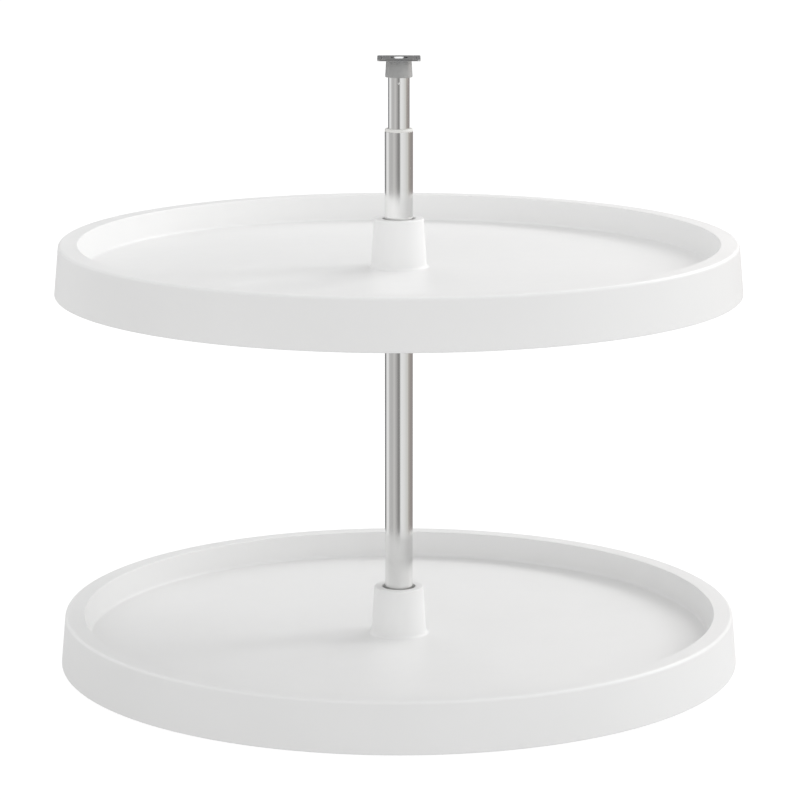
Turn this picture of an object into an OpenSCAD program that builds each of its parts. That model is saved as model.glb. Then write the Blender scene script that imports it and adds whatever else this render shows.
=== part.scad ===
// Two full-round rotating trays on a telescoping pole, for the inside of a
// corner or pantry cabinet. Millimetres, +Z up along the pole. The origin is
// the centre of the base plate's underside, on the cabinet floor.

/* [Trays] */
// Outer diameter of a tray at its bottom edge
tray_d = 610; // [520:5:700]
// Height of a tray from its bottom edge to the top of its rim
tray_h = 44.5; // [40:0.5:56]
// How far the outer wall leans in over its height
outer_draft = 4.1; // [2:0.1:6]
// Width across the top of the rim, outer corner to inner edge
rim_w = 16.9; // [14:0.1:22]
// How far the inner wall leans in from the rim down to the floor
inner_draft = 3; // [1:0.1:6]
// Height of the floor's top surface above the bottom edge
floor_z = 20.5; // [18:0.5:24]
// Thickness of the moulded walls and floor
wall_t = 3; // [2.4:0.1:3.4]
// Fillet where the floor meets the rim's inner wall and the hub
floor_r = 3; // [1.5:0.5:4]
// Number of stiffening ribs under the floor
rib_count = 16; // [8:1:24]
// Thickness of a rib
rib_t = 2.4; // [1.8:0.1:3]

/* [Tray hub] */
// Height of the hub above the floor
hub_h = 43.5; // [38:0.5:60]
// Hub diameter at the top
hub_top_d = 44.4; // [42:0.2:48]
// Hub diameter at the floor
hub_base_d = 50; // [49:0.5:58]
// Diameter of the bore through the hub
hub_bore_d = 29.6; // [29.2:0.2:31]

/* [Layout] */
// Lower tray's bottom edge above the cabinet floor
tray_gap = 28; // [28:1:40]
// Height from the lower tray to the upper tray
tray_pitch = 336; // [300:1:350]
// Mouth of the outer tube above the lower tray's bottom edge
mouth_h = 477.2; // [472:0.2:500]
// Length of inner tube that shows between the guide bush and the cap
inner_show = 45.4; // [45:0.2:80]

/* [Pole] */
// Outer diameter of the lower, thicker tube
outer_d = 25; // [24.8:0.1:25.4]
// Wall of the thicker tube
outer_wall = 1.2; // [1:0.1:1.3]
// Outer diameter of the upper, thinner tube
inner_d = 19; // [18.6:0.1:19.2]
// Wall of the thinner tube
inner_wall = 1; // [0.8:0.1:1.2]
// Whole length of the thinner tube
inner_len = 180; // [170:1:220]

/* [Mounting plates] */
// Side of the square top plate
top_plate_w = 38; // [37:0.5:50]
// Thickness of the top plate
top_plate_t = 1.5; // [1.2:0.1:1.8]
// Screw hole spacing on the top plate
top_hole_pitch = 27; // [26.5:0.5:28]
// Screw hole diameter in the top plate
top_hole_d = 4.8; // [4:0.1:5]
// Side of the square base plate
base_plate_w = 60; // [58:1:80]
// Thickness of the base plate
base_plate_t = 1.6; // [1.4:0.1:1.8]
// Screw hole spacing on the base plate
base_hole_pitch = 44; // [43:0.5:46]
// Screw hole diameter in the base plate
base_hole_d = 5.2; // [4.5:0.1:5.5]

/* [Hidden] */

$fn = 96;

fit = 0.02;   // gap round pieces that are pressed or bonded together
run = 0.05;   // radial gap where one piece turns or slides in another

outer_r = outer_d / 2;
bore_r = outer_r - outer_wall;
inner_r = inner_d / 2;
inner_bore_r = inner_r - inner_wall;

// heights above the cabinet floor
upper_z = tray_gap + tray_pitch;
mouth_z = tray_gap + mouth_h;
bush_flange = 2.6;
cap_z = mouth_z + bush_flange + inner_show;   // shoulder of the top cap
cap_h = 15.4;                                 // visible height of the cap
cap_pin_z = cap_z - 4.7;
plate_gap = 0.1;
top_z = cap_z + cap_h + plate_gap + top_plate_t;   // top face of the top plate
tail_z = cap_z - inner_len;                   // bottom end of the inner tube

// foot of the pole
dish_h = 3;                                   // height the base plate is raised at its middle
washer_t = 1.4;
foot_z = base_plate_t + dish_h + 0.1 + washer_t + 0.1;
tube_z = foot_z + 6.4;                        // bottom end of the outer tube
base_pin_z = tube_z + 5.6;

// hub and bearing heights, from a tray's bottom edge
hub_z = floor_z + hub_h;
boss_z = 8;
rib_z = 9.5;
bearing_top = hub_z - 14;
flange_z = 6.2;
collar_top = 4.6;
collar_h = 12.6;
screw_x = 22.4;

function arc_pts(x, y, r, a0, a1, n) =
    [for (i = [0 : n]) let (a = a0 + (a1 - a0) * i / n) [x + r * cos(a), y + r * sin(a)]];

// radius of the outer wall's outside and of the inner wall's inside, at height z
function r_out(z) = tray_d / 2 - outer_draft * z / tray_h;
function r_in(z) = tray_d / 2 - outer_draft - rim_w - inner_draft * (tray_h - z) / (tray_h - floor_z);
function r_hub(z) = hub_base_d / 2 - (hub_base_d - hub_top_d) / 2 * (z - floor_z) / hub_h;

// half section of a tray, as radius and height
function tray_section() =
    let (b = hub_bore_d / 2, f = floor_r, u = floor_z - wall_t, h = tray_h, t = wall_t)
    concat(
        [[b, hub_z - 0.8], [b + 0.8, hub_z]],
        arc_pts(r_hub(hub_z - 1.3) - 1.3, hub_z - 1.3, 1.3, 90, 4, 5),
        arc_pts(r_hub(floor_z + f) + f, floor_z + f, f, 180, 270, 6),
        arc_pts(r_in(floor_z + f) - f, floor_z + f, f, 270, 356, 6),
        arc_pts(r_in(h - 1) + 1, h - 1, 1, 176, 90, 4),
        arc_pts(r_out(h - 3) - 3, h - 3, 3, 90, 5, 7),
        arc_pts(r_out(0.6) - 0.6, 0.6, 0.6, 4, -90, 5),
        [[r_out(0) - t + 0.7, 0], [r_out(0.7) - t, 0.7],
         [r_out(h - t) - t, h - t], [r_in(h - t) + t, h - t],
         [r_in(u) + t, u], [27.4, u], [27, boss_z], [b + 0.6, boss_z], [b, boss_z + 0.6]]);

// one stiffening rib, from the hub boss out to the middle of the outer wall
module rib(a) {
    h = tray_h;
    rotate([0, 0, a])
        rotate([90, 0, 0])
            translate([0, 0, -rib_t / 2])
                linear_extrude(rib_t)
                    polygon([[26, rib_z], [r_out(rib_z) - wall_t / 2, rib_z],
                             [r_out(h - 1.6) - wall_t / 2, h - 1.6],
                             [r_in(h - 1.6) + wall_t / 2, h - 1.6],
                             [r_in(floor_z - 1.5) + wall_t / 2, floor_z - 1.5],
                             [26, floor_z - 1.5]]);
}

module tray(z) {
    color("white")
    translate([0, 0, z])
    union() {
        rotate_extrude($fn = 180) polygon(tray_section());
        for (i = [0 : rib_count - 1]) rib((i + 0.5) * 360 / rib_count);
        rotate_extrude($fn = 180)
            translate([tray_d / 4, rib_z]) square([rib_t, floor_z - 1.5 - rib_z]);
    }
}

// flanged bush pressed up into a tray's hub
module hub_bearing(z) {
    ro = hub_bore_d / 2 - fit;
    ri = outer_r + run;
    color("gainsboro")
    translate([0, 0, z])
    rotate_extrude()
        polygon([[ri + 0.5, flange_z], [20, flange_z], [20, boss_z - fit - 0.4], [19.6, boss_z - fit],
                 [ro, boss_z - fit], [ro, bearing_top - 0.8], [ro - 0.5, bearing_top],
                 [ri + 0.5, bearing_top], [ri, bearing_top - 0.5], [ri, flange_z + 0.5]]);
}

module thrust_washer(z) {
    color("silver")
    translate([0, 0, z + collar_top + fit])
    difference() {
        cylinder(r = 19, h = flange_z - 0.1 - collar_top - fit);
        translate([0, 0, -1]) cylinder(r = outer_r + 0.25, h = 5);
    }
}

// split clamp collar with a pair of lugs on +X
module collar(z) {
    color("dimgray")
    translate([0, 0, z + collar_top - collar_h])
    difference() {
        union() {
            rotate_extrude()
                polygon([[outer_r - 2, 0], [17.4, 0], [18, 0.6], [18, collar_h - 0.6],
                         [17.4, collar_h], [outer_r - 2, collar_h]]);
            translate([15, -6.8, 0.8]) cube([7.4, 13.6, collar_h - 1.6]);
            translate([screw_x, 6.8, collar_h / 2]) rotate([90, 0, 0])
                cylinder(r = (collar_h - 1.6) / 2, h = 13.6);
        }
        translate([0, 0, -1]) cylinder(r = outer_r + 0.03, h = collar_h + 2);
        translate([0, -0.8, -1]) cube([40, 1.6, collar_h + 2]);
        translate([screw_x, 10, collar_h / 2]) rotate([90, 0, 0]) cylinder(r = 2.2, h = 20);
        translate([screw_x, 10, collar_h / 2]) rotate([90, 30, 0])
            cylinder(r = 7.2 / 2 / cos(30), h = 10 - 4.8, $fn = 6);
    }
}

// pan-head clamp screw through the collar's lugs, head on -Y
module collar_screw(z) {
    color("silver")
    translate([screw_x, -6.82, z + collar_top - collar_h / 2])
    rotate([-90, 0, 0])
    difference() {
        union() {
            cylinder(r = 2, h = 16);
            rotate_extrude()
                polygon(concat([[0, 0], [4, 0]], arc_pts(2.6, -1.2, 1.4, 0, -90, 5), [[0, -2.6]]));
        }
        for (a = [0, 90]) rotate([0, 0, a]) translate([-2.2, -0.45, -3.6]) cube([4.4, 0.9, 2.6]);
    }
}

module collar_nut(z) {
    color("silver")
    translate([screw_x, 4.82, z + collar_top - collar_h / 2])
    rotate([-90, 30, 0])
    difference() {
        cylinder(r = 7 / 2 / cos(30), h = 3.2, $fn = 6);
        translate([0, 0, -1]) cylinder(r = 2 + fit, h = 6);
    }
}

// square plate with rounded corners, four screw holes and a pressed dish;
// dir = 1 raises the dish above the plate, dir = -1 sinks it
module plate(w, t, pitch, hole_d, dish_r, depth, pivot_r, dir) {
    difference() {
        union() {
            linear_extrude(t)
                difference() {
                    union() {
                        square([w - 5, w], center = true);
                        square([w, w - 5], center = true);
                        for (x = [-1, 1], y = [-1, 1])
                            translate([x * (w / 2 - 2.5), y * (w / 2 - 2.5)]) circle(r = 2.5, $fn = 48);
                    }
                    circle(r = dish_r);
                    for (x = [-1, 1], y = [-1, 1])
                        translate([x * pitch / 2, y * pitch / 2]) circle(d = hole_d, $fn = 48);
                }
            rotate_extrude()
                polygon(dir > 0
                    ? [[dish_r - 0.5 * t, 0], [dish_r + 0.5 * t, 0], [dish_r + 0.5 * t, t],
                       [dish_r - 0.1 * t, t], [dish_r - 0.1 * t - depth, t + depth],
                       [pivot_r, t + depth], [pivot_r, depth], [dish_r - 0.5 * t - depth, depth]]
                    : [[dish_r - 0.1 * t, 0], [dish_r + 0.5 * t, 0], [dish_r + 0.5 * t, t],
                       [dish_r - 0.5 * t, t], [dish_r - 0.5 * t - depth, t - depth],
                       [pivot_r, t - depth], [pivot_r, -depth], [dish_r - 0.1 * t - depth, -depth]]);
        }
        // each screw hole is eased on the side that the screw head sits on,
        // the same side as the pole
        for (x = [-1, 1], y = [-1, 1])
            translate([x * pitch / 2, y * pitch / 2, dir > 0 ? t - 0.4 : -0.1])
                cylinder(r1 = hole_d / 2 + (dir > 0 ? 0 : 0.5), r2 = hole_d / 2 + (dir > 0 ? 0.5 : 0),
                         h = 0.5, $fn = 48);
    }
}

// rivet along +Z: domed head below z = 0, shank up to h, flattened tail above it
module rivet(head_r, head_t, r, h, tail_r, tail_t) {
    rotate_extrude()
        polygon(concat(
            [[0, -head_t], [head_r - head_t * 0.7, -head_t]],
            arc_pts(head_r - head_t * 0.7, -head_t * 0.3, head_t * 0.7, -90, 0, 4),
            [[head_r, 0], [r, 0], [r, h], [tail_r, h], [tail_r, h + tail_t * 0.6],
             [tail_r - tail_t * 0.4, h + tail_t], [0, h + tail_t]]));
}

// cross pin along Y with slightly domed ends
module cross_pin(z, reach) {
    translate([0, 0, z])
    rotate([90, 0, 0])
    translate([0, 0, -reach])
    rotate_extrude($fn = 48)
        polygon([[0, 0], [0.7, 0.05], [1.05, 0.2], [1.2, 0.45],
                 [1.2, 2 * reach - 0.45], [1.05, 2 * reach - 0.2], [0.7, 2 * reach - 0.05], [0, 2 * reach]]);
}

module base_plate() {
    color("silver")
        plate(base_plate_w, base_plate_t, base_hole_pitch, base_hole_d, 14, dish_h, 3 + run, 1);
}

module base_washer() {
    color("gainsboro")
    translate([0, 0, base_plate_t + dish_h + fit])
    difference() {
        cylinder(r = 10.4, h = washer_t);
        translate([0, 0, -1]) cylinder(r = 3.4, h = 5);
    }
}

module base_rivet() {
    color("silver")
        translate([0, 0, dish_h - 0.06]) rivet(5.6, 1.7, 3, foot_z + 7.9 - dish_h, 4.6, 1.5);
}

// foot: tapered collar on the plate, plug up into the outer tube
module base_cap() {
    color("gray")
    difference() {
        rotate_extrude()
            polygon([[3 + fit, foot_z], [15.4, foot_z], [16, foot_z + 0.6], [14.2, tube_z - 0.6], [13.7, tube_z - fit],
                     [bore_r - 2 * fit, tube_z - fit], [bore_r - 2 * fit, tube_z + 26.6], [bore_r - fit - 0.8, tube_z + 27.4],
                     [8, tube_z + 27.4], [8, foot_z + 7.8], [3 + fit, foot_z + 7.8]]);
        translate([0, 0, base_pin_z]) rotate([90, 0, 0]) cylinder(r = 1.2 + fit, h = 40, center = true, $fn = 48);
    }
}

module base_cap_pin() {
    color("silver") cross_pin(base_pin_z, outer_r + 0.3);
}

module outer_tube() {
    color("lightgray")
    difference() {
        translate([0, 0, tube_z]) cylinder(r = outer_r, h = mouth_z - tube_z);
        translate([0, 0, tube_z - 1]) cylinder(r = bore_r, h = mouth_z - tube_z + 2);
        translate([0, 0, base_pin_z]) rotate([90, 0, 0]) cylinder(r = 1.2 + fit, h = 40, center = true, $fn = 48);
    }
}

// flange on the tube's mouth and a sleeve inside it that the thinner tube slides in
module guide_bush() {
    ri = inner_r + run;
    z1 = mouth_z + fit;
    z2 = mouth_z + bush_flange;
    color("gainsboro")
    rotate_extrude()
        polygon(concat(
            [[ri, mouth_z - 29.5], [ri + 0.5, mouth_z - 30], [bore_r - fit - 0.6, mouth_z - 30],
             [bore_r - fit, mouth_z - 29.2], [bore_r - fit, z1], [12.4, z1]],
            arc_pts(12.4 - 1.1, z2 - 1.1, 1.1, 0, 90, 5),
            [[ri + 0.4, z2], [ri, z2 - 0.4]]));
}

module inner_tube() {
    color("lightgray")
    difference() {
        translate([0, 0, tail_z]) cylinder(r = inner_r, h = inner_len);
        translate([0, 0, tail_z - 1]) cylinder(r = inner_bore_r, h = inner_len + 2);
        translate([0, 0, cap_pin_z]) rotate([90, 0, 0]) cylinder(r = 1.2 + fit, h = 40, center = true, $fn = 48);
    }
}

// plug in the thinner tube's bottom end, with the stub that works the lock
module lock_plug() {
    color("gainsboro")
    difference() {
        rotate_extrude()
            polygon([[0, tail_z - 30], [4, tail_z - 30], [4.5, tail_z - 29.5], [4.5, tail_z - 2], [inner_r, tail_z - 2],
                     [inner_r, tail_z - fit], [inner_bore_r - fit, tail_z - fit],
                     [inner_bore_r - fit, tail_z + 27], [inner_bore_r - fit - 1, tail_z + 28], [0, tail_z + 28]]);
        translate([0, 0, tail_z - 31]) cylinder(r = 1.5 + fit, h = 18, $fn = 48);
    }
}

// split gripping sleeve with a tapered mouth at the bottom
module lock_sleeve() {
    color("gainsboro")
    difference() {
        rotate_extrude()
            polygon([[4.5 + run, tail_z - 2.3], [bore_r - run - 0.6, tail_z - 2.3], [bore_r - run, tail_z - 3],
                     [bore_r - run, tail_z - 23.5], [bore_r - run - 0.5, tail_z - 24], [9.3, tail_z - 24],
                     [6.3, tail_z - 12], [4.5 + run, tail_z - 12]]);
        translate([0, -0.8, tail_z - 30]) cube([20, 1.6, 40]);
    }
}

// taper nut, kept from turning by a key in the sleeve's slot
module lock_cone() {
    color("silver")
    difference() {
        union() {
            rotate_extrude()
                polygon([[0, tail_z - 12.4], [6.3, tail_z - 12.4], [9.2, tail_z - 24], [9.2, tail_z - 26], [0, tail_z - 26]]);
            translate([6, -0.6, tail_z - 26]) cube([4.6, 1.2, 11]);
        }
        translate([0, 0, tail_z - 27]) cylinder(r = 4.5 + run, h = 20);
    }
}

module lock_screw() {
    color("silver")
    translate([0, 0, tail_z - 30 - fit])
    difference() {
        union() {
            cylinder(r = 1.5, h = 14, $fn = 48);
            translate([0, 0, -0.8]) cylinder(r = 6, h = 0.8);
            translate([0, 0, -2.4]) cylinder(r = 3, h = 2);
        }
        for (a = [0, 90]) rotate([0, 0, a]) translate([-1.8, -0.4, -3.4]) cube([3.6, 0.8, 2.2]);
    }
}

// tapered cap on the thinner tube, hollow plug below, seat for the plate's dish above
module top_cap() {
    zt = cap_z + cap_h;
    color("gray")
    difference() {
        rotate_extrude()
            polygon(concat(
                [[2.5 + fit, zt - 2.5], [6.95, zt - 2.5], [9.45, zt]],
                arc_pts(11.15 - 0.4, zt - 0.4, 0.4, 90, 0, 3),
                [[12.05, cap_z + 0.3], [11.75, cap_z], [inner_bore_r - fit, cap_z],
                 [inner_bore_r - fit, cap_z - 29], [inner_bore_r - fit - 1, cap_z - 30], [5.5, cap_z - 30],
                 [5.5, zt - 10.6], [2.5 + fit, zt - 10.6]]));
        translate([0, 0, cap_pin_z]) rotate([90, 0, 0]) cylinder(r = 1.2 + fit, h = 40, center = true, $fn = 48);
    }
}

module cap_pin() {
    color("silver") cross_pin(cap_pin_z, inner_r + 0.3);
}

module top_plate() {
    color("darkgray")
    translate([0, 0, top_z - top_plate_t])
        plate(top_plate_w, top_plate_t, top_hole_pitch, top_hole_d, 9.15, 2.5, 2.5 + run, -1);
}

module top_rivet() {
    color("silver")
    translate([0, 0, top_z - 2.44]) mirror([0, 0, 1]) rivet(4.4, 1.3, 2.5, 8.3 + top_plate_t, 4, 1.4);
}

module lower_collar() { collar(tray_gap); }
module lower_collar_screw() { collar_screw(tray_gap); }
module lower_collar_nut() { collar_nut(tray_gap); }
module lower_thrust_washer() { thrust_washer(tray_gap); }
module lower_hub_bearing() { hub_bearing(tray_gap); }
module lower_tray() { tray(tray_gap); }
module upper_collar() { collar(upper_z); }
module upper_collar_screw() { collar_screw(upper_z); }
module upper_collar_nut() { collar_nut(upper_z); }
module upper_thrust_washer() { thrust_washer(upper_z); }
module upper_hub_bearing() { hub_bearing(upper_z); }
module upper_tray() { tray(upper_z); }

base_plate();
base_washer();
base_rivet();
base_cap();
base_cap_pin();
outer_tube();
guide_bush();
lower_collar();
lower_collar_screw();
lower_collar_nut();
lower_thrust_washer();
lower_hub_bearing();
lower_tray();
upper_collar();
upper_collar_screw();
upper_collar_nut();
upper_thrust_washer();
upper_hub_bearing();
upper_tray();
lock_sleeve();
lock_cone();
lock_plug();
lock_screw();
inner_tube();
top_cap();
cap_pin();
top_rivet();
top_plate();
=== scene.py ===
import math

import bmesh
import bpy
from mathutils import Matrix, Vector


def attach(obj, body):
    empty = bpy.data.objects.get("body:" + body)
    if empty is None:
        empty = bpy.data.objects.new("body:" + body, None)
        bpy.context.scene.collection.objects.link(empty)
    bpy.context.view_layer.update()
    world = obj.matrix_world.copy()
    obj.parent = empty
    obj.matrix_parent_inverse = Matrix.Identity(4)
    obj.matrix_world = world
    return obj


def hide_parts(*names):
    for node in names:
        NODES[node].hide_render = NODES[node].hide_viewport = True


# Looks for the two-tray rotating cabinet fitting. Metres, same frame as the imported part:
# the origin is the centre of the base plate's underside and +Z runs up the pole.
# Profiles below are in millimetres, as in the part.

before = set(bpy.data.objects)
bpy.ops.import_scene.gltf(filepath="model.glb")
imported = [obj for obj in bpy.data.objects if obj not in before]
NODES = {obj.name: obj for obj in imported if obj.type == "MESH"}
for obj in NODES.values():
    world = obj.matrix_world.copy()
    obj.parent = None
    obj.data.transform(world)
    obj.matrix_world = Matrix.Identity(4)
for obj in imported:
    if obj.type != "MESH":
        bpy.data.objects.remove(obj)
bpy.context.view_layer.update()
MM = 0.001

LOWER_Z = 28.0
UPPER_Z = 364.0

scene = bpy.context.scene


# ---------------------------------------------------------------- camera

cam_data = bpy.data.cameras.new("camera")
cam = bpy.data.objects.new("camera", cam_data)
scene.collection.objects.link(cam)
cam.location = (0.001, -2.9647, 0.8703)
cam.rotation_euler = (math.radians(78.433), 0.0, 0.0)
cam_data.sensor_width = 36.0
cam_data.lens = 152.1
cam_data.clip_start = 0.05
cam_data.clip_end = 200.0
scene.camera = cam


# ---------------------------------------------------------------- shape helpers

def arc(cx, cz, r, a0, a1, n):
    """Points of an arc, angles in degrees."""
    return [
        (cx + r * math.cos(math.radians(a0 + (a1 - a0) * i / n)),
         cz + r * math.sin(math.radians(a0 + (a1 - a0) * i / n)))
        for i in range(n + 1)
    ]


def soften(points, step=11.0, closed=True):
    """A polygon of (x, z, radius) with each corner rounded to its own radius."""
    out, n = [], len(points)
    for i, (x, z, r) in enumerate(points):
        end = not closed and i in (0, n - 1)
        p = Vector((x, z))
        a = Vector(points[i - 1][:2])
        b = Vector(points[(i + 1) % n][:2])
        u, v = a - p, b - p
        if end or r <= 0 or u.length < 1e-9 or v.length < 1e-9:
            out.append((x, z))
            continue
        angle = u.angle(v)
        if angle > math.radians(176):
            out.append((x, z))
            continue
        t = min(r / math.tan(angle / 2), 0.48 * u.length, 0.48 * v.length)
        rr = t * math.tan(angle / 2)
        u.normalize(), v.normalize()
        centre = p + (u + v).normalized() * (rr / math.sin(angle / 2))
        s, e = p + u * t - centre, p + v * t - centre
        a0 = math.atan2(s.y, s.x)
        d = math.atan2(e.y, e.x) - a0
        while d > math.pi:
            d -= 2 * math.pi
        while d < -math.pi:
            d += 2 * math.pi
        k = max(2, math.ceil(abs(math.degrees(d)) / step))
        out += [(centre.x + rr * math.cos(a0 + d * j / k), centre.y + rr * math.sin(a0 + d * j / k))
                for j in range(k + 1)]
    return out


def held(points, gap=0.3, closed=True):
    """The same outline with a point close to each end of every long side, so that smooth
    shading stays in the rounded corners."""
    out, n = [], len(points)
    for i in range(n):
        a = Vector(points[i])
        out.append(points[i])
        if i == n - 1 and not closed:
            break
        b = Vector(points[(i + 1) % n])
        length = (b - a).length
        if length > 4 * gap:
            d = (b - a) / length
            out.append(tuple(a + d * gap))
            out.append(tuple(b - d * gap))
    return out


def lathe(profile, segments):
    """A bmesh turned from a closed half section of (radius, z). Points on the axis become poles."""
    bm = bmesh.new()
    angles = [2 * math.pi * i / segments for i in range(segments)]
    rings = []
    for x, z in profile:
        if x < 1e-6:
            rings.append([bm.verts.new((0, 0, z * MM))])
        else:
            rings.append([bm.verts.new((x * math.cos(a) * MM, x * math.sin(a) * MM, z * MM)) for a in angles])
    n = len(profile)
    for i in range(n):
        a, b = rings[i], rings[(i + 1) % n]
        if len(a) == 1 and len(b) == 1:
            continue
        for j in range(segments):
            k = (j + 1) % segments
            if len(a) == 1:
                bm.faces.new((a[0], b[k], b[j]))
            elif len(b) == 1:
                bm.faces.new((a[j], a[k], b[0]))
            else:
                bm.faces.new((a[j], a[k], b[k], b[j]))
    bmesh.ops.recalc_face_normals(bm, faces=bm.faces)
    return bm


def to_mesh(bm, name):
    me = bpy.data.meshes.new(name)
    bm.to_mesh(me)
    bm.free()
    return me


def scratch(me):
    o = bpy.data.objects.new(me.name, me)
    scene.collection.objects.link(o)
    return o


def combine(me, others, operation):
    """me with each of the other meshes added to it or cut from it."""
    for other in others:
        a, b = scratch(me), scratch(other)
        mod = a.modifiers.new("combine", "BOOLEAN")
        mod.operation = operation
        mod.object = b
        mod.solver = "EXACT"
        bpy.context.view_layer.update()
        dg = bpy.context.evaluated_depsgraph_get()
        made = bpy.data.meshes.new_from_object(a.evaluated_get(dg))
        bpy.data.objects.remove(a)
        bpy.data.objects.remove(b)
        me = made
    return me


def place(me, name, body, material, replaces=(), angle=34.0):
    """Makes the piece, smooth with sharp edges kept, and fixes it to its body."""
    me.name = name
    me.materials.clear()
    me.materials.append(material)
    for p in me.polygons:
        p.material_index = 0
    me.shade_smooth()
    me.set_sharp_from_angle(angle=math.radians(angle))
    o = bpy.data.objects.new(name, me)
    scene.collection.objects.link(o)
    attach(o, body)
    if replaces:
        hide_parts(*replaces)
    return o


# ---------------------------------------------------------------- materials

def graph(name):
    m = bpy.data.materials.new(name)
    m.use_nodes = True
    t = m.node_tree
    t.nodes.clear()
    out = t.nodes.new("ShaderNodeOutputMaterial")
    shader = t.nodes.new("ShaderNodeBsdfPrincipled")
    t.links.new(shader.outputs["BSDF"], out.inputs["Surface"])
    where = t.nodes.new("ShaderNodeTexCoord")
    return m, t, shader, where.outputs["Object"]


def stretched(t, vector, scale):
    n = t.nodes.new("ShaderNodeMapping")
    n.inputs["Scale"].default_value = scale
    t.links.new(vector, n.inputs["Vector"])
    return n.outputs["Vector"]


def noise(t, vector, scale, detail=2.0, rough=0.5, distortion=0.0):
    n = t.nodes.new("ShaderNodeTexNoise")
    n.inputs["Scale"].default_value = scale
    n.inputs["Detail"].default_value = detail
    n.inputs["Roughness"].default_value = rough
    n.inputs["Distortion"].default_value = distortion
    t.links.new(vector, n.inputs["Vector"])
    return n.outputs["Fac"]


def span(t, value, low, high, from_low=0.3, from_high=0.7):
    n = t.nodes.new("ShaderNodeMapRange")
    n.inputs["From Min"].default_value = from_low
    n.inputs["From Max"].default_value = from_high
    n.inputs["To Min"].default_value = low
    n.inputs["To Max"].default_value = high
    t.links.new(value, n.inputs["Value"])
    return n.outputs["Result"]


def blend(t, factor, a, b):
    n = t.nodes.new("ShaderNodeMix")
    n.data_type = "RGBA"
    n.inputs[6].default_value = (*a, 1)
    n.inputs[7].default_value = (*b, 1)
    t.links.new(factor, n.inputs[0])
    return n.outputs[2]


def bump(t, height, strength, distance, under=None):
    n = t.nodes.new("ShaderNodeBump")
    n.inputs["Strength"].default_value = strength
    n.inputs["Distance"].default_value = distance
    t.links.new(height, n.inputs["Height"])
    if under is not None:
        t.links.new(under, n.inputs["Normal"])
    return n.outputs["Normal"]


def white_moulding():
    m, t, s, at = graph("white_moulding")
    cloud = noise(t, at, 7.0, 3.0)
    t.links.new(blend(t, span(t, cloud, 0, 1), (0.792, 0.792, 0.789), (0.808, 0.808, 0.805)), s.inputs["Base Color"])
    patch = noise(t, at, 60.0, 4.0, 0.6)
    t.links.new(span(t, patch, 0.40, 0.48), s.inputs["Roughness"])
    s.inputs["IOR"].default_value = 1.46
    wave = bump(t, noise(t, at, 22.0, 1.0), 0.25, 0.00025)
    grain = bump(t, noise(t, at, 1500.0, 2.0, 0.6), 0.35, 0.00003, wave)
    t.links.new(grain, s.inputs["Normal"])
    return m


def chrome_tube():
    m, t, s, at = graph("chrome_tube")
    s.inputs["Metallic"].default_value = 1.0
    cloud = noise(t, stretched(t, at, (60.0, 60.0, 9.0)), 1.0, 3.0)
    t.links.new(blend(t, span(t, cloud, 0, 1), (0.775, 0.775, 0.77), (0.80, 0.80, 0.795)), s.inputs["Base Color"])
    drawn = noise(t, stretched(t, at, (1600.0, 1600.0, 14.0)), 1.0, 3.0, 0.6)
    t.links.new(span(t, drawn, 0.075, 0.12), s.inputs["Roughness"])
    t.links.new(bump(t, drawn, 0.12, 0.00001), s.inputs["Normal"])
    return m


def zinc_steel():
    m, t, s, at = graph("zinc_steel")
    s.inputs["Metallic"].default_value = 1.0
    cloud = noise(t, at, 90.0, 4.0, 0.55, 0.4)
    t.links.new(blend(t, span(t, cloud, 0, 1), (0.44, 0.455, 0.48), (0.54, 0.54, 0.535)), s.inputs["Base Color"])
    rolled = noise(t, stretched(t, at, (220.0, 2600.0, 2600.0)), 1.0, 3.0, 0.6)
    t.links.new(span(t, rolled, 0.24, 0.38), s.inputs["Roughness"])
    t.links.new(bump(t, rolled, 0.25, 0.00002), s.inputs["Normal"])
    return m


def bright_zinc():
    m, t, s, at = graph("bright_zinc")
    s.inputs["Metallic"].default_value = 1.0
    cloud = noise(t, at, 90.0, 4.0, 0.55, 0.4)
    t.links.new(blend(t, span(t, cloud, 0, 1), (0.49, 0.50, 0.52), (0.57, 0.57, 0.565)), s.inputs["Base Color"])
    rolled = noise(t, stretched(t, at, (220.0, 2600.0, 2600.0)), 1.0, 3.0, 0.6)
    t.links.new(span(t, rolled, 0.10, 0.20), s.inputs["Roughness"])
    t.links.new(bump(t, rolled, 0.2, 0.00001), s.inputs["Normal"])
    return m


def grey_plastic():
    m, t, s, at = graph("grey_plastic")
    cloud = noise(t, at, 140.0, 3.0)
    t.links.new(blend(t, span(t, cloud, 0, 1), (0.315, 0.315, 0.313), (0.345, 0.345, 0.34)), s.inputs["Base Color"])
    t.links.new(span(t, noise(t, at, 420.0, 3.0), 0.28, 0.36), s.inputs["Roughness"])
    s.inputs["IOR"].default_value = 1.56
    t.links.new(bump(t, noise(t, at, 2600.0, 2.0, 0.6), 0.4, 0.00004), s.inputs["Normal"])
    return m


def collar_plastic():
    m, t, s, at = graph("collar_plastic")
    cloud = noise(t, at, 220.0, 3.0, 0.6)
    t.links.new(blend(t, span(t, cloud, 0, 1), (0.055, 0.056, 0.06), (0.085, 0.086, 0.09)), s.inputs["Base Color"])
    fibre = noise(t, stretched(t, at, (900.0, 2600.0, 1500.0)), 1.0, 4.0, 0.65)
    t.links.new(span(t, fibre, 0.40, 0.60), s.inputs["Roughness"])
    s.inputs["IOR"].default_value = 1.5
    t.links.new(bump(t, fibre, 0.4, 0.00005), s.inputs["Normal"])
    return m


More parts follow.
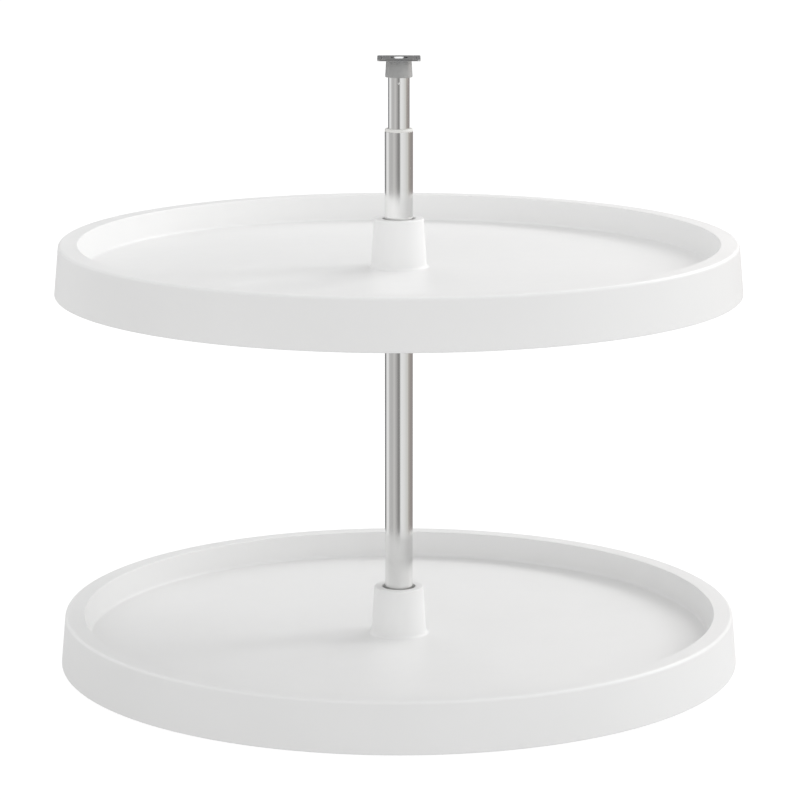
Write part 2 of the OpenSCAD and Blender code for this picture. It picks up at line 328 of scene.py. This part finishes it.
def natural_nylon():
    m, t, s, at = graph("natural_nylon")
    cloud = noise(t, at, 110.0, 3.0)
    t.links.new(blend(t, span(t, cloud, 0, 1), (0.71, 0.705, 0.68), (0.76, 0.755, 0.735)), s.inputs["Base Color"])
    t.links.new(span(t, noise(t, at, 500.0, 3.0), 0.30, 0.42), s.inputs["Roughness"])
    s.inputs["IOR"].default_value = 1.53
    t.links.new(bump(t, noise(t, at, 1900.0, 2.0, 0.6), 0.3, 0.00003), s.inputs["Normal"])
    return m


WHITE = white_moulding()
CHROME = chrome_tube()
ZINC = zinc_steel()
BRIGHT = bright_zinc()
GREY = grey_plastic()
COLLAR = collar_plastic()
NYLON = natural_nylon()


# ---------------------------------------------------------------- trays

def r_out(z):
    return 305.0 - 4.1 * z / 44.5


def r_in(z):
    return 284.0 - 3.0 * (44.5 - z) / 24.0


def r_hub(z):
    return 25.0 - 2.8 * (z - 20.5) / 43.5


def tray_profile():
    b, hub_z, u = 14.8, 64.0, 17.5
    pts = [(b, hub_z - 0.8)]
    pts += arc(b + 0.8, hub_z - 0.8, 0.8, 180, 90, 5)[1:]
    pts += arc(r_hub(hub_z - 1.3) - 1.3, hub_z - 1.3, 1.3, 90, 4, 9)
    pts += arc(r_hub(23.5) + 3, 23.5, 3, 180, 270, 12)
    pts += arc(r_in(23.5) - 3, 23.5, 3, 270, 356, 12)
    pts += arc(r_in(43.5) + 1, 43.5, 1, 176, 90, 8)
    pts += arc(r_out(41.5) - 3, 41.5, 3, 90, 5, 14)
    pts += arc(r_out(0.6) - 0.6, 0.6, 0.6, 4, -90, 8)
    pts += [(302.7, 0.0), (r_out(0.7) - 3, 0.7), (r_out(41.5) - 3, 41.5), (r_in(41.5) + 3, 41.5),
            (r_in(u) + 3, u), (27.4, u), (27.0, 8.4), (26.6, 8.0), (15.4, 8.0), (14.8, 8.6)]
    return held(pts, 0.35)


def rib_mesh(angle):
    """One rib, 2.4 mm thick, from the hub boss to the middle of the outer wall."""
    side = [(26.0, 9.5), (r_out(9.5) - 1.5, 9.5), (r_out(42.9) - 1.5, 42.9),
            (r_in(42.9) + 1.5, 42.9), (r_in(19.0) + 1.5, 19.0), (26.0, 19.0)]
    bm = bmesh.new()
    left = [bm.verts.new((x * MM, -1.2 * MM, z * MM)) for x, z in side]
    right = [bm.verts.new((x * MM, 1.2 * MM, z * MM)) for x, z in side]
    bm.faces.new(left)
    bm.faces.new(right)
    for i in range(len(side)):
        j = (i + 1) % len(side)
        bm.faces.new((left[i], left[j], right[j], right[i]))
    bmesh.ops.recalc_face_normals(bm, faces=bm.faces)
    # the free lower edge is eased
    low = [e for e in bm.edges
           if all(abs(v.co.z - 9.5 * MM) < 1e-7 for v in e.verts) and abs(e.verts[0].co.x - e.verts[1].co.x) > 0.1]
    bmesh.ops.bevel(bm, geom=low, offset=0.5 * MM, segments=3, profile=0.5, affect="EDGES")
    bmesh.ops.rotate(bm, verts=bm.verts, cent=(0, 0, 0), matrix=Matrix.Rotation(angle, 3, "Z"))
    return to_mesh(bm, "rib")


def joined(meshes, name):
    bm = bmesh.new()
    for me in meshes:
        bm.from_mesh(me)
        bpy.data.meshes.remove(me)
    return to_mesh(bm, name)


def tray_mesh():
    me = to_mesh(lathe(tray_profile(), 320), "tray")
    ribs = joined([rib_mesh((i + 0.5) * math.pi / 8) for i in range(16)], "ribs")
    ring = to_mesh(lathe(soften([(152.5, 9.5, 0.5), (154.9, 9.5, 0.5), (154.9, 19.0, 0), (152.5, 19.0, 0)]), 320), "ring")
    # round witness marks of the mould's ejector pins, between the ribs
    marks = []
    for i in range(16):
        a = i * math.pi / 8
        for r in (90.0, 228.0):
            bm = lathe([(0.0, 17.35), (4.6, 17.35), (4.75, 17.45), (4.75, 18.5), (0.0, 18.5)], 32)
            bmesh.ops.translate(bm, verts=bm.verts, vec=(r * math.cos(a) * MM, r * math.sin(a) * MM, 0))
            marks.append(to_mesh(bm, "mark"))
    return combine(me, [ribs, ring, joined(marks, "marks")], "UNION")


TRAY = tray_mesh()
for level, z in (("lower", LOWER_Z), ("upper", UPPER_Z)):
    me = TRAY.copy()
    me.transform(Matrix.Translation((0, 0, z * MM)))
    place(me, f"{level}_tray_moulding", f"{level}_shelf", WHITE, (f"{level}_tray",), 30)


# ---------------------------------------------------------------- pole

def tube_mesh(r, bore, z0, z1, hole_z, name, ease=0.25):
    """A drawn tube with eased ends and a cross hole for its pin."""
    out = [(r, z0, 0.25), (r, hole_z - 3, 0), (r, hole_z + 3, 0), (r, z1, ease),
           (bore, z1, 0.2), (bore, hole_z + 3, 0), (bore, hole_z - 3, 0), (bore, z0, 0.2)]
    me = to_mesh(lathe(held(soften(out), 0.4), 128), name)
    bm = lathe([(0.0, -40.0), (1.22, -40.0), (1.22, 40.0), (0.0, 40.0)], 32)
    bmesh.ops.rotate(bm, verts=bm.verts, cent=(0, 0, 0), matrix=Matrix.Rotation(math.pi / 2, 3, "X"))
    bmesh.ops.translate(bm, verts=bm.verts, vec=(0, 0, hole_z * MM))
    return combine(me, [to_mesh(bm, "hole")], "DIFFERENCE")


place(tube_mesh(12.5, 11.3, 12.6, 505.2, 18.2, "tube"), "outer_tube_chromed", "shaft", CHROME, ("outer_tube",))
place(tube_mesh(9.5, 8.5, 373.2, 553.2, 548.5, "tube", 0.08), "inner_tube_chromed", "mast", CHROME, ("inner_tube",))


def turned(name, body, points, node, material, segments=96, gap=0.2):
    me = to_mesh(lathe(held(soften(points), gap), segments), name)
    return place(me, name, body, material, (node,))


turned("guide_bush_moulded", "shaft",
       [(9.55, 475.7, 0), (10.05, 475.2, 0.2), (10.68, 475.2, 0.2), (11.28, 476.0, 0.2), (11.28, 505.22, 0),
        (12.4, 505.22, 0.15), (12.4, 507.8, 1.1), (9.95, 507.8, 0.15), (9.55, 507.4, 0.15)],
       "guide_bush", NYLON, 128)


def pin(name, body, z, reach, node, material):
    """Cross pin along Y with domed ends."""
    dome = [(0.0, 0.0), (0.35, 0.02), (0.7, 0.08), (0.98, 0.2), (1.13, 0.34), (1.2, 0.52)]
    prof = dome + [(x, 2 * reach - y) for x, y in reversed(dome)]
    bm = lathe(held(prof, 0.15, closed=False), 40)
    bmesh.ops.translate(bm, verts=bm.verts, vec=(0, 0, -reach * MM))
    bmesh.ops.rotate(bm, verts=bm.verts, cent=(0, 0, 0), matrix=Matrix.Rotation(math.pi / 2, 3, "X"))
    bmesh.ops.translate(bm, verts=bm.verts, vec=(0, 0, z * MM))
    return place(to_mesh(bm, name), name, body, material, (node,))


pin("cap_pin_domed", "mast", 548.5, 9.8, "cap_pin", CHROME)
pin("base_cap_pin_domed", "shaft", 18.2, 12.8, "base_cap_pin", ZINC)


def drilled(me, z):
    bm = lathe([(0.0, -40.0), (1.22, -40.0), (1.22, 40.0), (0.0, 40.0)], 32)
    bmesh.ops.rotate(bm, verts=bm.verts, cent=(0, 0, 0), matrix=Matrix.Rotation(math.pi / 2, 3, "X"))
    bmesh.ops.translate(bm, verts=bm.verts, vec=(0, 0, z * MM))
    return combine(me, [to_mesh(bm, "hole")], "DIFFERENCE")


top_cap = to_mesh(lathe(held(soften(
    [(2.52, 566.1, 0), (6.95, 566.1, 0), (9.45, 568.6, 0.1), (11.15, 568.6, 0.4), (12.05, 553.5, 0.2),
     (11.75, 553.2, 0), (8.48, 553.2, 0), (8.48, 524.2, 0), (7.48, 523.2, 0), (5.5, 523.2, 0),
     (5.5, 558.0, 0), (2.52, 558.0, 0)]), 0.2), 128), "top_cap")
place(drilled(top_cap, 548.5), "top_cap_moulded", "mast", GREY, ("top_cap",))

base_cap = to_mesh(lathe(held(soften(
    [(3.02, 6.2, 0), (15.4, 6.2, 0.2), (16.0, 6.8, 0.2), (14.2, 12.0, 0.3), (13.7, 12.58, 0.1),
     (11.26, 12.58, 0), (11.26, 39.2, 0), (10.48, 40.0, 0), (8.0, 40.0, 0), (8.0, 14.0, 0), (3.02, 14.0, 0)]), 0.2), 96), "base_cap")
place(drilled(base_cap, 18.2), "base_cap_moulded", "shaft", GREY, ("base_cap",))

for level, z in (("lower", LOWER_Z), ("upper", UPPER_Z)):
    turned(f"{level}_hub_bearing_moulded", f"{level}_shelf",
           [(13.05, z + 6.2, 0.15), (20.0, z + 6.2, 0.15), (20.0, z + 7.58, 0.1), (19.6, z + 7.98, 0.1), (14.78, z + 7.98, 0),
            (14.78, z + 49.2, 0.2), (14.28, z + 50.0, 0.2), (13.05, z + 50.0, 0.2), (12.55, z + 49.5, 0.15), (12.55, z + 6.7, 0.15)],
           f"{level}_hub_bearing", NYLON, 128)
    turned(f"{level}_thrust_washer_pressed", f"{level}_carrier",
           [(12.75, z + 4.62, 0.25), (19.0, z + 4.62, 0.3), (19.0, z + 6.1, 0.3), (12.75, z + 6.1, 0.25)],
           f"{level}_thrust_washer", ZINC, 96)

turned("base_washer_moulded", "base",
       [(3.4, 4.62, 0.15), (10.4, 4.62, 0.2), (10.4, 6.02, 0.3), (3.4, 6.02, 0.15)],
       "base_washer", NYLON, 96)

# rivets: domed head, shank and flattened tail
def rivet(name, body, z, up, head_r, head_t, r, h, tail_r, tail_t, node):
    pts = [(0.0, -head_t, 0), (head_r * 0.55, -head_t * 0.96, head_r), (head_r, -head_t * 0.35, head_t * 0.4), (head_r, 0, 0.05),
           (r, 0, 0), (r, h, 0), (tail_r, h, 0.1), (tail_r, h + tail_t, tail_t * 0.5), (0.0, h + tail_t, 0)]
    prof = [(x, z + up * y) for x, y in held(soften(pts, closed=False), 0.15, closed=False)]
    return place(to_mesh(lathe(prof, 72), name), name, body, ZINC, (node,))


rivet("base_rivet_domed", "shaft", 2.94, 1, 5.6, 1.7, 3.0, 11.1, 4.6, 1.5, "base_rivet")
rivet("top_rivet_domed", "mast", 567.76, -1, 4.4, 1.3, 2.5, 9.8, 4.0, 1.4, "top_rivet")


# ---------------------------------------------------------------- carried-over nodes

def dress(node, material, bevel=None):
    o = NODES[node]
    o.data.materials.clear()
    o.data.materials.append(material)
    for p in o.data.polygons:
        p.material_index = 0
    weld = o.modifiers.new("weld", "WELD")
    weld.merge_threshold = 2e-6
    if bevel:
        b = o.modifiers.new("bevel", "BEVEL")
        b.limit_method = "ANGLE"
        b.angle_limit = math.radians(32)
        b.width = bevel * MM
        b.segments = 2
        b.harden_normals = False
    wn = o.modifiers.new("normals", "WEIGHTED_NORMAL")
    wn.keep_sharp = True
    return o


dress("base_plate", BRIGHT, 0.25)
dress("top_plate", BRIGHT, 0.2)
for level in ("lower", "upper"):
    dress(f"{level}_collar", COLLAR, 0.2)
    dress(f"{level}_collar_screw", ZINC, 0.08)
    dress(f"{level}_collar_nut", ZINC, 0.12)
dress("lock_sleeve", NYLON)
dress("lock_cone", ZINC)
dress("lock_plug", NYLON)
dress("lock_screw", ZINC)


# ---------------------------------------------------------------- stage and light

def floor_material():
    """Pale matte sweep. It is kept almost white, with only a soft trace of shadow, and it is
    open from below so that the underside can be looked at."""
    m = bpy.data.materials.new("studio_floor")
    m.use_nodes = True
    t = m.node_tree
    t.nodes.clear()
    out = t.nodes.new("ShaderNodeOutputMaterial")
    where = t.nodes.new("ShaderNodeTexCoord")
    cloud = noise(t, where.outputs["Object"], 3.0, 3.0)
    body = t.nodes.new("ShaderNodeBsdfDiffuse")
    t.links.new(blend(t, span(t, cloud, 0, 1), (0.64, 0.64, 0.64), (0.66, 0.66, 0.66)), body.inputs["Color"])
    trace = t.nodes.new("ShaderNodeBsdfDiffuse")
    t.links.new(blend(t, span(t, cloud, 0, 1), (0.118, 0.118, 0.118), (0.122, 0.122, 0.122)), trace.inputs["Color"])
    glow = t.nodes.new("ShaderNodeEmission")
    glow.inputs["Color"].default_value = (1, 1, 1, 1)
    glow.inputs["Strength"].default_value = 0.95
    seen = t.nodes.new("ShaderNodeAddShader")
    t.links.new(trace.outputs[0], seen.inputs[0])
    t.links.new(glow.outputs[0], seen.inputs[1])
    # under the part it gives a little light, so that the underside isn't lost in the dark
    reach = t.nodes.new("ShaderNodeVectorMath")
    reach.operation = "LENGTH"
    t.links.new(where.outputs["Object"], reach.inputs[0])
    under = t.nodes.new("ShaderNodeEmission")
    path = t.nodes.new("ShaderNodeLightPath")
    kind = t.nodes.new("ShaderNodeMix")
    t.links.new(path.outputs["Is Glossy Ray"], kind.inputs[0])
    t.links.new(span(t, reach.outputs["Value"], 0.55, 0.0, 0.24, 0.295), kind.inputs[2])
    t.links.new(span(t, reach.outputs["Value"], 0.35, 0.0, 0.045, 0.06), kind.inputs[3])
    t.links.new(kind.outputs[0], under.inputs["Strength"])
    lit = t.nodes.new("ShaderNodeAddShader")
    t.links.new(body.outputs[0], lit.inputs[0])
    t.links.new(under.outputs[0], lit.inputs[1])
    pick = t.nodes.new("ShaderNodeMixShader")
    t.links.new(path.outputs["Is Camera Ray"], pick.inputs[0])
    t.links.new(lit.outputs[0], pick.inputs[1])
    t.links.new(seen.outputs[0], pick.inputs[2])
    side = t.nodes.new("ShaderNodeNewGeometry")
    clear = t.nodes.new("ShaderNodeBsdfTransparent")
    both = t.nodes.new("ShaderNodeMixShader")
    t.links.new(side.outputs["Backfacing"], both.inputs[0])
    t.links.new(pick.outputs[0], both.inputs[1])
    t.links.new(clear.outputs[0], both.inputs[2])
    t.links.new(both.outputs[0], out.inputs["Surface"])
    m.cycles.emission_sampling = "NONE"
    return m


bm = bmesh.new()
bmesh.ops.create_grid(bm, x_segments=4, y_segments=4, size=40.0)
floor = bpy.data.objects.new("studio_floor", to_mesh(bm, "studio_floor"))
scene.collection.objects.link(floor)
floor.data.materials.append(floor_material())
floor.location = (0, 0, -0.0002)


def wrap():
    """A ring of pale and dark studio cards that only the gloss of the metal sees."""
    radius, low, high, n = 0.52, 0.0, 1.1, 120
    bm = bmesh.new()
    ring = []
    for i in range(n):
        a = 2 * math.pi * i / n
        x, y = radius * math.cos(a), radius * math.sin(a)
        ring.append((bm.verts.new((x, y, low)), bm.verts.new((x, y, high))))
    for i in range(n):
        a, b = ring[i], ring[(i + 1) % n]
        bm.faces.new((a[0], b[0], b[1], a[1]))
    o = bpy.data.objects.new("studio_cards", to_mesh(bm, "studio_cards"))
    scene.collection.objects.link(o)
    m = bpy.data.materials.new("studio_cards")
    m.use_nodes = True
    t = m.node_tree
    t.nodes.clear()
    out = t.nodes.new("ShaderNodeOutputMaterial")
    e = t.nodes.new("ShaderNodeEmission")
    where = t.nodes.new("ShaderNodeTexCoord")
    turn = t.nodes.new("ShaderNodeMapping")
    turn.inputs["Rotation"].default_value = (0, 0, math.radians(90))
    t.links.new(where.outputs["Object"], turn.inputs["Vector"])
    angle = t.nodes.new("ShaderNodeTexGradient")
    angle.gradient_type = "RADIAL"
    t.links.new(turn.outputs["Vector"], angle.inputs["Vector"])
    ramp = t.nodes.new("ShaderNodeValToRGB")
    ramp.color_ramp.interpolation = "LINEAR"
    # bearing in degrees from the front, positive towards +X, and the card's colour
    cards = [
        (-180, (0.24, 0.24, 0.24)), (-146, (0.12, 0.12, 0.125)), (-112, (0.93, 0.93, 0.93)), (-94, (0.88, 0.88, 0.88)),
        (-82, (0.58, 0.575, 0.57)), (-56, (0.54, 0.535, 0.53)), (-38, (0.66, 0.65, 0.64)), (-22, (0.50, 0.49, 0.485)),
        (-6, (0.30, 0.295, 0.29)), (5, (0.26, 0.255, 0.25)), (14, (0.86, 0.87, 0.865)), (24, (0.93, 0.93, 0.93)),
        (50, (0.84, 0.84, 0.83)), (64, (0.74, 0.74, 0.72)), (76, (0.73, 0.72, 0.69)), (88, (0.49, 0.46, 0.43)),
        (112, (0.36, 0.33, 0.315)), (140, (0.36, 0.325, 0.315)), (180, (0.24, 0.24, 0.24)),
    ]
    points = ramp.color_ramp.elements
    while len(points) > 2:
        points.remove(points[-1])
    for i, (bearing, colour) in enumerate(cards):
        at = (bearing + 180) / 360
        if i == 0:
            points[0].position, points[0].color = 0.0, (*colour, 1)
        elif i == len(cards) - 1:
            points[-1].position, points[-1].color = 1.0, (*colour, 1)
        else:
            p = points.new(at)
            p.color = (*colour, 1)
    t.links.new(angle.outputs["Fac"], ramp.inputs["Fac"])
    t.links.new(ramp.outputs["Color"], e.inputs["Color"])
    # behind the part the cards darken above the height of the pole
    axes = t.nodes.new("ShaderNodeSeparateXYZ")
    t.links.new(where.outputs["Object"], axes.inputs[0])
    behind = span(t, axes.outputs["Y"], 0.0, 0.87, 0.1, 0.4)
    upper = span(t, axes.outputs["Z"], 0.0, 1.0, 0.78, 0.86)
    dark = t.nodes.new("ShaderNodeMath")
    dark.operation = "MULTIPLY"
    t.links.new(behind, dark.inputs[0])
    t.links.new(upper, dark.inputs[1])
    left = t.nodes.new("ShaderNodeMath")
    left.operation = "SUBTRACT"
    left.inputs[0].default_value = 1.0
    t.links.new(dark.outputs[0], left.inputs[1])
    # a strip light on the right, level with the cap and above what the tubes see
    strip = span(t, axes.outputs["X"], 0.0, 1.0, 0.30, 0.42)
    for other in (span(t, axes.outputs["Y"], 0.0, 1.0, -0.05, 0.03),
                  span(t, axes.outputs["Z"], 0.0, 6.0, 0.515, 0.54),
                  span(t, axes.outputs["Z"], 1.0, 0.0, 0.57, 0.63)):
        n = t.nodes.new("ShaderNodeMath")
        n.operation = "MULTIPLY"
        t.links.new(strip, n.inputs[0])
        t.links.new(other, n.inputs[1])
        strip = n.outputs[0]
    both = t.nodes.new("ShaderNodeMath")
    both.operation = "ADD"
    t.links.new(left.outputs[0], both.inputs[0])
    t.links.new(strip, both.inputs[1])
    t.links.new(both.outputs[0], e.inputs["Strength"])
    t.links.new(e.outputs["Emission"], out.inputs["Surface"])
    m.cycles.emission_sampling = "NONE"
    o.data.materials.append(m)
    o.visible_camera = False
    o.visible_diffuse = False
    o.visible_shadow = False
    o.visible_transmission = False
    o.visible_volume_scatter = False
    return o


wrap()


def softbox(name, azimuth, elevation, distance, size, watts, colour=(1, 1, 1)):
    """A round area light aimed at the middle of the part. Azimuth is from +X towards +Y."""
    light = bpy.data.lights.new(name, "AREA")
    light.shape = "DISK"
    light.size = size
    light.energy = watts
    light.color = colour
    o = bpy.data.objects.new(name, light)
    scene.collection.objects.link(o)
    a, e = math.radians(azimuth), math.radians(elevation)
    target = Vector((0, 0, 0.3))
    back = Vector((math.cos(a) * math.cos(e), math.sin(a) * math.cos(e), math.sin(e)))
    o.location = target + back * distance
    o.rotation_mode = "QUATERNION"
    o.rotation_quaternion = (-back).to_track_quat("-Z", "Y")
    o.visible_camera = False
    return o


softbox("key", 18, 26, 3.0, 1.0, 19.5)
softbox("side", 50, 36, 3.0, 1.0, 14.0)


def studio_world():
    """A bright soft room. Broad lobes of light stand round the horizon, strongest on the right, and
    little comes from overhead, so the lower tray is lit nearly as well as the upper one. Gloss sees
    a pale dome with a bright overhead card, darker behind the part."""
    world = bpy.data.worlds.new("studio")
    world.use_nodes = True
    t = world.node_tree
    t.nodes.clear()
    out = t.nodes.new("ShaderNodeOutputWorld")
    where = t.nodes.new("ShaderNodeTexCoord")

    def math_node(operation, *values):
        n = t.nodes.new("ShaderNodeMath")
        n.operation = operation
        for i, v in enumerate(values):
            if isinstance(v, (int, float)):
                n.inputs[i].default_value = v
            else:
                t.links.new(v, n.inputs[i])
        return n.outputs[0]

    total = 0.0
    for elevation, ring in ROOM:
        for i, strength in enumerate(ring):
            # bearings from the back, turning through the left side, the front and the right side
            a, e = math.radians(-180 + i * 360 / len(ring)), math.radians(elevation)
            dot = t.nodes.new("ShaderNodeVectorMath")
            dot.operation = "DOT_PRODUCT"
            t.links.new(where.outputs["Generated"], dot.inputs[0])
            dot.inputs[1].default_value = (math.sin(a) * math.cos(e), -math.cos(a) * math.cos(e), math.sin(e))
            lobe = math_node("POWER", math_node("MAXIMUM", dot.outputs["Value"], 0.0), 5.0)
            total = math_node("MULTIPLY_ADD", lobe, strength, total)

    def light(strength):
        n = t.nodes.new("ShaderNodeBackground")
        n.inputs["Color"].default_value = (1, 1, 1, 1)
        if isinstance(strength, float):
            n.inputs["Strength"].default_value = strength
        else:
            t.links.new(strength, n.inputs["Strength"])
        return n.outputs[0]

    axes = t.nodes.new("ShaderNodeSeparateXYZ")
    t.links.new(where.outputs["Generated"], axes.inputs[0])
    dome = math_node("ADD", span(t, axes.outputs["Y"], 0.70, 0.14, 0.0, 0.35), span(t, axes.outputs["Z"], 0.0, 1.1, 0.83, 0.88))
    path = t.nodes.new("ShaderNodeLightPath")
    shown = light(total)
    for ray, strength in (("Is Glossy Ray", dome), ("Is Camera Ray", 1.0)):
        pick = t.nodes.new("ShaderNodeMixShader")
        t.links.new(path.outputs[ray], pick.inputs[0])
        t.links.new(shown, pick.inputs[1])
        t.links.new(light(strength), pick.inputs[2])
        shown = pick.outputs[0]
    t.links.new(shown, out.inputs["Surface"])
    scene.world = world


ROOM = (
    (8, (0.89, 0.60, 0.31, 0.44, 0.72, 0.78, 0.72, 0.74)),
    (38, (0.60, 0.52, 0.40, 0.48, 0.50, 0.36, 0.24, 0.34)),
)
studio_world()

scene.view_settings.view_transform = "Standard"
scene.view_settings.look = "None"
scene.view_settings.exposure = 0.0
scene.view_settings.gamma = 1.0
